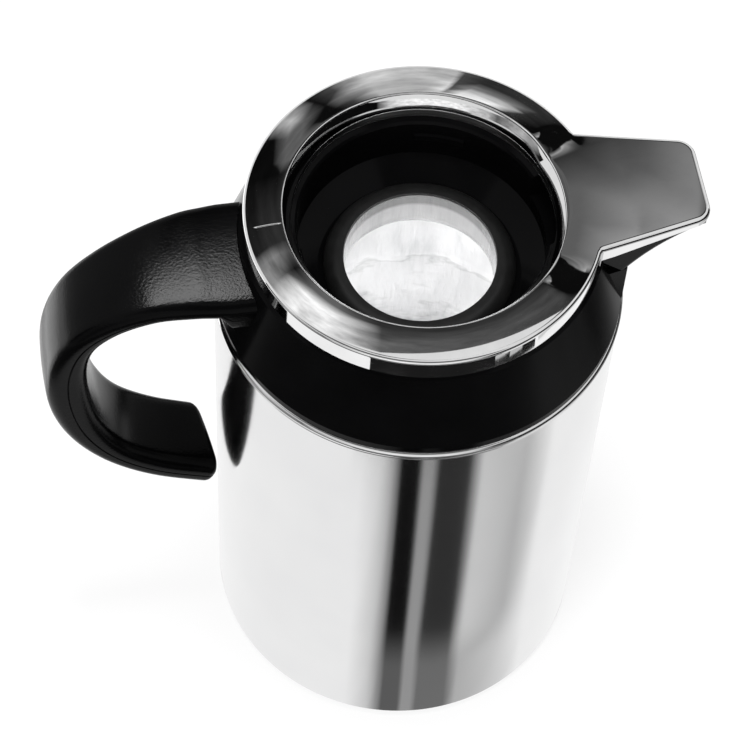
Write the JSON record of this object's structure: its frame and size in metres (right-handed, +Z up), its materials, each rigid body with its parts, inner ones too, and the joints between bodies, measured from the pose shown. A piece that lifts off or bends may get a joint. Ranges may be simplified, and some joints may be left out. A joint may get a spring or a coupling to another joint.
{
  "type": "thermal carafe",
  "caption": "Insulated serving jug with a steel casing, black shoulder and hooked handle, chromed top ring with a covered spout, and a glass vacuum flask inside; open, without its stopper.",
  "frame": {"origin": "on the jug's axis, in the plane of the foot ring that it stands on", "axes": "+Z up, +X to the spout, handle on -X"},
  "size_m": [0.2096, 0.131, 0.2271],
  "materials": {
    "casing_steel": "fine vertical brushing, polished",
    "chrome": "polished",
    "black_plastic": "moulded, glossy",
    "handle_plastic": "moulded, satin gloss",
    "silvered_glass": "silvered vacuum flask glass",
    "silicone": "smooth",
    "foam_rubber": "matte",
    "screw_steel": "zinc plated"
  },
  "bodies": {
    "root": {"outer_casing": "casing_steel", "rim_gasket": "silicone", "shoulder": "black_plastic", "funnel": "black_plastic", "top_ring": "chrome", "ring_seal": "silicone", "ring_screws": "screw_steel", "neck_gasket": "silicone", "flask_inner_wall": "silvered_glass", "flask_outer_wall": "silvered_glass", "flask_spacers": "foam_rubber", "centring_band": "foam_rubber", "flask_cushion": "foam_rubber", "base_ring": "black_plastic", "foot_ring": "silicone", "handle_outer_shell": "handle_plastic", "handle_inner_shell": "handle_plastic", "handle_stiffener": "screw_steel", "handle_screws": "screw_steel"},
    "base_cap": {"base_cap": "black_plastic", "base_cap_seal": "silicone"}
  },
  "joints": [
    {"name": "base_cap_turn", "type": "hinge", "parent": "root", "child": "base_cap", "pos_m": [0, 0, 0], "axis": [0, 0, -1], "range_deg": [0, 60]}
  ]
}
